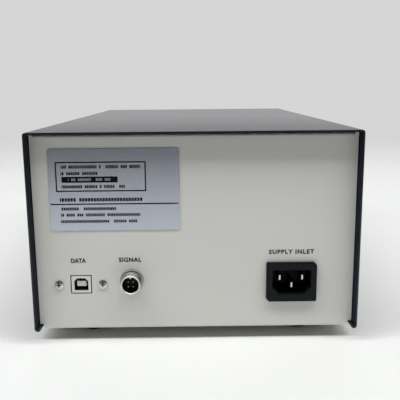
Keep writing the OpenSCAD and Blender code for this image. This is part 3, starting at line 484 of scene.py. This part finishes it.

# Solids with a finish of their own, most with painted shade: screws by the face that they seat on, and the
# data socket's pieces
X_AXIS, Y_AXIS = 0, 1
SHELL_FRONT = box_corners("data_socket_shell")[1][Y_AXIS]
OWN_FINISHES = {
    "data_socket_screws": recessed_screw("socket_screw", rgb(214, 212, 206), Y_AXIS, REAR_Y),
    "cover_screws": recessed_screw("cover_screw", rgb(206, 206, 204), X_AXIS, SIDE_X),
    "data_socket_shell": socket_shell("shell_nickel", SHELL_FRONT),
    "data_socket_tongue": moulded_plastic("tongue_plastic", rgb(236, 246, 245), rgb(241, 250, 249), 0.40),
    # The contacts' brass is darker and duller than the brass finish: painted shade
    "data_socket_contacts": plated_metal("contact_brass", rgb(112, 92, 56), rgb(82, 66, 40), 0.30),
}

for part in frame["record"]["subparts"]:
    solid = frame["nodes"][part["node"]]
    solid.data.materials.clear()
    solid.data.materials.append(OWN_FINISHES.get(part["node"], FINISHES[part["material_slot"]]))


# Cover

def fold_path(legs, turns, radius, start, heading_deg, steps=9):
    """Points and headings of a line that runs straight for each leg and turns left on an arc after it."""
    place, heading = np.array(start, float), math.radians(heading_deg)
    points, headings = [place[None]], [np.array([heading])]
    for leg, turn in zip(legs, [*turns, 0.0]):
        place = place + leg * np.array([math.cos(heading), math.sin(heading)])
        points.append(place[None])
        headings.append(np.array([heading]))
        if turn:
            swing = heading + np.linspace(0.0, math.radians(turn), steps + 1)
            centre = place + radius * np.array([-math.sin(heading), math.cos(heading)])
            arc = centre + radius * np.stack([np.sin(swing), -np.cos(swing)], -1)
            points.append(arc[1:])
            headings.append(swing[1:])
            place, heading = arc[-1], swing[-1]
    return np.concatenate(points), np.concatenate(headings)


def rounded_section(half_thickness, half_depth, radius, steps=4):
    """A long rectangle with round corners, as offsets across the sheet and along its depth."""
    corner = np.linspace(0.0, math.pi / 2, steps + 1)[None] + np.arange(4)[:, None] * math.pi / 2
    signs = np.array([[1, 1], [-1, 1], [-1, -1], [1, -1]])[:, None]
    middle = np.array([half_thickness - radius, half_depth - radius])
    around = np.stack([np.cos(corner), np.sin(corner)], -1)
    return (signs * middle + radius * around).reshape(-1, 2)


def folded_cover():
    """The cover: a sheet's rounded section carried along its folded line, from lip to lip.

    One half of the line runs from the middle of the top, over the fold and down the wall to the
    lip, which turns in and up at a slope of 4 to 3, and the other half mirrors it. The coat is even
    on the outside and the cut edges; the inside faces take a darker, duller copy of it, as painted shade.
    """
    low, high = box_corners("top_cover")
    thickness, inner, lip, edge = 1.5, 0.4, 0.5, 0.25
    outer, bend = inner + thickness, inner + thickness / 2
    wall = high[2] - low[2] - 2 * outer
    lip_turn = 90.0 + math.degrees(math.atan2(4, 3))
    half, heading = fold_path(
        [high[0] - outer, wall, lip], [90.0, lip_turn], bend, (0.0, high[2] - thickness / 2), 180.0)
    mirror = [-1.0, 1.0]
    line = np.concatenate([half[::-1], half[1:] * mirror])
    outward = np.stack([np.sin(heading), -np.cos(heading)], -1)
    outward = np.concatenate([outward[::-1], outward[1:] * mirror])
    section = rounded_section(thickness / 2, high[1], edge)
    across = line[:, None] + section[None, :, :1] * outward[:, None]
    depth = np.broadcast_to(section[None, :, 1:], across.shape[:2] + (1,))
    points = np.concatenate([across[..., :1], depth, across[..., 1:]], -1)
    rows, columns = points.shape[:2]
    ends = np.arange(rows * columns).reshape(rows, columns)[[0, -1]]
    faces = [*grid_faces(rows, columns, wrap_columns=True), ends[0], ends[1, ::-1]]
    piece = make_piece("cover_sheet", points, faces, FINISHES["cover_paint"], "case")
    # The inside faces take cover_inside, the darker, duller copy of the paint: painted shade
    piece.data.materials.append(FINISHES["cover_inside"])
    inside = (section[:, 0] < 0) & (np.roll(section[:, 0], -1) < 0)
    dull = np.concatenate([np.tile(inside, rows - 1), np.zeros(len(ends), bool)])
    piece.data.polygons.foreach_set("material_index", dull.astype(np.int32))
    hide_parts("top_cover")


# Sensor socket

def outline_run(along, radius, key=0.0, cut=0.0):
    """Rows of an outline: place along the axis, radius, inward step of the key, depth of the thread."""
    return np.stack(np.broadcast_arrays(*np.atleast_1d(along, radius, key, cut)), -1)


def threaded_barrel():
    """The sensor socket's barrel: a turned outline carried round the socket's axis.

    The outline runs from the back of the bore to the front, over a round nose, and back along the
    outside. On the outside the radius drops by a rounded V that advances one pitch each turn and
    runs out at both ends, and in the bore's front a key stands in at the top.
    """
    low, high = box_corners("sensor_barrel")
    centre_x, centre_z = (low[0] + high[0]) / 2, (low[2] + high[2]) / 2
    rear, rim = low[1] - REAR_Y, high[1] - REAR_Y
    crest, bore, cavity_depth = 6.0, 5.0, 6.0
    flange, flange_t, edge, bevel, undercut = 7.3, 2.2, 0.35, 0.1, 0.3
    pitch, groove, flank, flat, front_run, back_run = 1.5, 0.6, 1.25, 0.1, 0.7, 0.6
    key_depth, key_angle, key_side = 0.9, 0.145, 0.02
    seam, hair = 0.05, 0.02
    nose_steps, thread_steps, round_steps = 13, 90, 180
    cavity, nose = rim - cavity_depth, (crest - bore) / 2
    nose_start = rim - nose
    front = nose_start - seam
    over = np.linspace(math.pi, 0.0, nose_steps)
    outline = np.concatenate([
        outline_run([rear, cavity], bore),
        outline_run([cavity + seam, front - seam], bore, key=key_depth),
        outline_run(front, bore),
        outline_run(nose_start + nose * np.sin(over), bore + nose + nose * np.cos(over)),
        outline_run(np.linspace(front, flange_t + bevel, thread_steps), crest, cut=groove),
        outline_run([flange_t + hair, flange_t, flange_t], [crest - undercut, crest, flange - edge]),
        outline_run([flange_t - bevel, flange_t - edge, edge], [flange - bevel, flange, flange]),
        outline_run([hair, 0.0], [flange - edge, flange - edge - bevel]),
        outline_run([0.0, rear], crest)])
    along, radius, key, cut = outline.T[..., None]
    turn = np.linspace(0.0, 2 * math.pi, round_steps, endpoint=False)[None]
    phase = (along / pitch - turn / (2 * math.pi)) % 1.0
    wave = np.clip(flank * (1.0 - np.abs(2.0 * phase - 1.0)) - flat, 0.0, 1.0)
    run_out = np.clip((nose_start - along) / front_run, 0.0, 1.0)
    run_out = run_out * np.clip((along - flange_t) / back_run, 0.0, 1.0)
    off_top = np.abs((turn + math.pi / 2) % (2 * math.pi) - math.pi)
    key_shape = np.clip((key_angle - off_top) / key_side, 0.0, 1.0)
    radius = radius - cut * wave * run_out - key * key_shape
    points = np.stack(np.broadcast_arrays(
        centre_x - radius * np.cos(turn), REAR_Y + along, centre_z + radius * np.sin(turn)), -1)
    faces = grid_faces(*points.shape[:2], wrap_rows=True, wrap_columns=True)
    finish = threaded_nickel(
        "thread_nickel", centre_x, centre_z, REAR_Y + flange_t + seam, REAR_Y + nose_start,
        bore, crest, groove)
    piece = make_piece("sensor_thread", points, faces, finish, "case", sharp_deg=50.0)
    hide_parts("sensor_barrel")


# Captions and signs

INK_LIFT, INK_SINK, INK_SHARP_DEG = 0.06, 0.15, 30.0


def caption(name, words, middle, width, spacing):
    """Raised ink lettering on the rear panel, scaled to a width and height about a middle point.

    Touching points are merged and each letter is closed. The letters lie flat, so they are turned
    upright: right becomes -X and up becomes +Z.
    """
    curve = bpy.data.curves.new(name, "FONT")
    curve.body = words
    curve.space_character = spacing
    curve.offset = 0.04
    curve.extrude = 0.5
    curve.resolution_u = 3
    flat = bpy.data.objects.new(name, curve)
    bpy.context.scene.collection.objects.link(flat)
    mesh = bpy.data.meshes.new_from_object(flat.evaluated_get(bpy.context.evaluated_depsgraph_get()))
    bpy.data.objects.remove(flat)
    letters = bmesh.new()
    letters.from_mesh(mesh)
    touching = 0.0005
    bmesh.ops.remove_doubles(letters, verts=letters.verts, dist=touching)
    bmesh.ops.beautify_fill(letters, faces=letters.faces, edges=letters.edges)
    bmesh.ops.recalc_face_normals(letters, faces=letters.faces)
    letters.to_mesh(mesh)
    letters.free()
    points = np.zeros(len(mesh.vertices) * 3)
    mesh.vertices.foreach_get("co", points)
    points = points.reshape(-1, 3)
    faces = [list(p.vertices) for p in mesh.polygons]
    bpy.data.meshes.remove(mesh)
    low, high = points.min(0), points.max(0)
    letter_height = 2.9
    points = (points - (low + high) / 2) / (high - low) * [width, letter_height, INK_LIFT]
    upright = np.stack([
        -middle[0] - points[:, 0], REAR_Y + INK_LIFT / 2 + points[:, 2],
        BASE_Z + middle[1] + points[:, 1]], -1)
    make_piece(name, upright, faces, FINISHES["caption_ink"], "case", INK_SHARP_DEG)


def raised_tile(name, outline, place, body, steps=8):
    """A thin tile of ink on a curved face, closed underneath.

    Its plan is a grid that runs evenly between four corners, given anticlockwise. The place
    function turns a point of the plan and a height over the face into a point of the object. The
    grid's rim is repeated below it, sunk into the face, and one face closes it there.
    """
    run = np.linspace(0.0, 1.0, steps + 1)
    u, v = run[None, :, None], run[:, None, None]
    a, b, c, d = np.array(outline, float)
    plan = ((1 - u) * (1 - v) * a + u * (1 - v) * b + u * v * c + (1 - u) * v * d).reshape(-1, 2)
    index = np.arange(len(plan)).reshape(steps + 1, steps + 1)
    rim = np.concatenate([index[0, :-1], index[:-1, -1], index[-1, :0:-1], index[:0:-1, 0]])
    below = len(plan) + np.arange(len(rim))
    height = np.repeat([INK_LIFT, -INK_SINK], [len(plan), len(rim)])
    plan = np.concatenate([plan, plan[rim]])
    points = place(plan[:, 0], plan[:, 1], height)
    walls = np.stack([rim, below, np.roll(below, -1), np.roll(rim, -1)], -1)
    faces = [*grid_faces(steps + 1, steps + 1)[:, ::-1], *walls, below[::-1]]
    make_piece(name, points, faces, FINISHES["white_plastic"], body, INK_SHARP_DEG)


def raised_ring(name, middle, inner, outer, place, body, steps=40):
    """A thin ring of ink on a face: a rectangle carried round a circle."""
    turn = np.linspace(0.0, 2 * math.pi, steps, endpoint=False)[:, None]
    radius = np.array([[inner, inner, outer, outer]])
    height = np.broadcast_to([-INK_SINK, INK_LIFT, INK_LIFT, -INK_SINK], (steps, 4))
    points = place(middle[0] + radius * np.cos(turn), middle[1] + radius * np.sin(turn), height)
    faces = grid_faces(steps, 4, wrap_rows=True, wrap_columns=True)[:, ::-1]
    make_piece(name, points, faces, FINISHES["white_plastic"], body, INK_SHARP_DEG)


def key_face(node):
    """The dished face of a key: height over the front panel grows as on a sphere of 45 mm."""
    low, high = box_corners(node)
    middle_x, middle_z = (low[0] + high[0]) / 2, (low[2] + high[2]) / 2
    dish, crown = 45.0, 2.5

    def place(a, b, height):
        out = crown + dish - np.sqrt(dish ** 2 - a ** 2 - b ** 2) + height
        return np.stack([middle_x + a, FRONT_Y - out, middle_z + b], -1)
    return place


def rocker_face():
    """The rocker's shallow V: each half rises outwards at its tilt, and the whole is turned by it."""
    low, high = box_corners("power_switch_housing")
    middle_x, middle_z = (low[0] + high[0]) / 2, (low[2] + high[2]) / 2
    tilt, floor, pivot = math.radians(10.0), 2.0, 0.5

    def place(a, b, height):
        rise = floor + np.abs(b) * math.tan(tilt) + height
        up = b * math.cos(tilt) - rise * math.sin(tilt)
        out = b * math.sin(tilt) + rise * math.cos(tilt) + pivot
        return np.stack([middle_x + a, FRONT_Y - out, middle_z + up], -1)
    return place


def bar(left, right, low, high):
    """A rectangle's corners, anticlockwise from its lower left."""
    return [(left, low), (right, low), (right, high), (left, high)]


def front_signs():
    """Plain signs on the keys and the power rocker, each a few thin tiles of white ink."""
    tip, stroke = 0.15, 0.4
    rising = [(-2.6, -1.9), (2.6, -1.9), (tip, 2.2), (-tip, 2.2)]
    falling = [(-tip, -2.2), (tip, -2.2), (2.6, 1.9), (-2.6, 1.9)]
    running = [(-1.8, -2.6), (2.3, -tip), (2.3, tip), (-1.8, 2.6)]
    arrow_head = [(-3.0, -tip), (-1.0, -1.6), (-1.0, 1.6), (-3.0, tip)]
    signs = {
        "menu": [bar(-2.8, 2.8, row - stroke, row + stroke) for row in (-1.9, 0.0, 1.9)],
        "up": [rising],
        "down": [falling],
        "enter": [bar(1.9, 2.7, -stroke, 2.4), bar(-1.0, 1.9, -stroke, stroke), arrow_head],
        "start": [running],
        "stop": [bar(-2.1, 2.1, -2.1, 2.1)]}
    for sign, tiles in signs.items():
        for number, outline in enumerate(tiles):
            key = "key_" + sign
            raised_tile(f"mark_{sign}_{number}", outline, key_face(key), key)
    raised_tile("mark_on", bar(-stroke, stroke, 2.6, 5.8), rocker_face(), "rocker")
    raised_ring("mark_off", (0.0, -4.2), 1.1, 1.8, rocker_face(), "rocker")


folded_cover()
threaded_barrel()
front_signs()
caption("caption_data", "DATA", middle=(-72.2, 44.6), width=9.4, spacing=1.0)
caption("caption_signal", "SIGNAL", middle=(-40.3, 44.9), width=14.0, spacing=1.12)
caption("caption_supply", "SUPPLY INLET", middle=(59.4, 48.9), width=28.0, spacing=1.2)


# Stage

def stage_paper(pale):
    """Pale paper that takes the object's shadow, and far from it looks evenly lit."""
    f = Finish("stage_paper")
    away = f.distance((0.0, 0.0, 0.0), (1.0, 1.0, 0.0))
    near_m, full_m = 0.7, 1.5
    far = f.clamp((away - near_m) / (full_m - near_m))
    sheet = f.shader(
        Base_Color=f.blend(f.noise(400.0, 1.0), (0.75, 0.76, 0.75, 1.0), (0.78, 0.79, 0.78, 1.0)),
        Roughness=0.9)
    glow = f.node("ShaderNodeEmission", sockets={"Color": (pale, pale, pale, 1.0), "Strength": 1.0})
    mixed = f.node("ShaderNodeMixShader", sockets={0: far * f.seen(), 1: sheet, 2: glow})
    return f.output("ShaderNodeOutputMaterial", mixed)


def seamless_stage(paper):
    """A pale sheet: a floor that sweeps up into a wall behind the object, on a quarter circle."""
    reach, near, far, sweep, top = 3500.0, 3000.0, -1400.0, 700.0, 3200.0
    bend = np.linspace(0.0, math.pi / 2, 24)
    line = np.array([
        [near, 0.0], [far, 0.0],
        *np.stack([far - sweep * np.sin(bend), sweep - sweep * np.cos(bend)], -1)[1:],
        [far - sweep, top]])
    across = np.array([-reach, reach])
    points = np.stack(np.broadcast_arrays(across[None], line[:, :1], line[:, 1:]), -1)
    make_piece("stage_sheet", points, grid_faces(*points.shape[:2]), paper, sharp_deg=180.0)


def dark_card():
    """A flat dark card behind the camera: only reflections show it, and metal takes deep tones from it."""
    f = Finish("card_black")
    card_paint = f.surface(
        Base_Color=f.blend(f.noise(300.0), (0.02, 0.02, 0.02, 1.0), (0.03, 0.03, 0.03, 1.0)),
        Roughness=0.9)
    reach, place, height = 1600.0, 800.0, 1100.0
    across, upward = np.meshgrid([reach, -reach], [0.0, height])
    points = np.stack([across, np.full_like(across, place), upward], -1)
    card = make_piece("stage_card", points, grid_faces(2, 2), card_paint, sharp_deg=180.0)
    card.visible_camera = False
    card.visible_shadow = False


def stand(name, data, place, right, up, back):
    """Puts a lamp or camera at a place in metres, with its own right, up and back directions."""
    stood = bpy.data.objects.new(name, data)
    bpy.context.scene.collection.objects.link(stood)
    turned = np.eye(4)
    turned[:3] = np.stack([right, up, back, place], -1)
    stood.matrix_world = Matrix(turned)
    return stood


def soft_light(name, place, aim, width, depth, watts):
    """A soft box, wide across the scene, that points from its place to its aim, in metres."""
    lamp = bpy.data.lights.new(name, "AREA")
    lamp.shape = "RECTANGLE"
    lamp.size = width
    lamp.size_y = depth
    lamp.energy = watts
    back = np.array(place) - np.array(aim)
    back = back / np.linalg.norm(back)
    right = np.cross([0.0, 1.0, 0.0], back)
    right = right / np.linalg.norm(right)
    stand(name, lamp, place, right, np.cross(back, right), back)


def studio_world(light, pale):
    """Even light from all round, paler to glossy and clear surfaces, and to the camera as far paper is."""
    f = Finish("studio", "worlds")
    tone = 0.8
    camera = f.node("ShaderNodeLightPath", out="Is Camera Ray")
    strength = light + f.seen() * (pale - light) + camera * (pale / tone - pale)
    background = f.node("ShaderNodeBackground", sockets={
        "Color": (tone, tone, tone, 1.0), "Strength": strength})
    bpy.context.scene.world = f.output("ShaderNodeOutputWorld", background)


def rear_camera():
    """The camera behind the object: its place, turn, tilt and roll fit the edges of the cover."""
    turn, tilt, roll = math.radians(0.45), math.radians(10.92), math.radians(-0.51)
    forward = -np.array([
        math.sin(turn) * math.cos(tilt), math.cos(turn) * math.cos(tilt), math.sin(tilt)])
    level = np.array([-math.cos(turn), math.sin(turn), 0.0])
    upright = np.cross(level, forward)
    right = level * math.cos(roll) + upright * math.sin(roll)
    up = upright * math.cos(roll) - level * math.sin(roll)
    lens = bpy.data.cameras.new("rear_camera")
    image_px, focal_px = 400.0, 583.4
    lens.sensor_width = 36.0
    lens.lens = focal_px / image_px * lens.sensor_width
    lens.clip_start, lens.clip_end = 0.01, 50.0
    place = np.array([-0.45, 515.24, 156.96]) * MM
    bpy.context.scene.camera = stand("rear_camera", lens, place, right, up, -forward)


PALE, AMBIENT = 0.67, 0.12
seamless_stage(stage_paper(PALE))
dark_card()
studio_world(AMBIENT, PALE)
soft_light("overhead", (0.0, 0.57, 1.56), (0.0, 0.17, 0.05), width=5.0, depth=0.45, watts=58.0)
soft_light("backdrop", (0.0, -0.9, 1.8), (0.0, -2.1, 0.6), width=1.6, depth=1.6, watts=15.0)
rear_camera()
bpy.context.scene.view_settings.view_transform = "Standard"
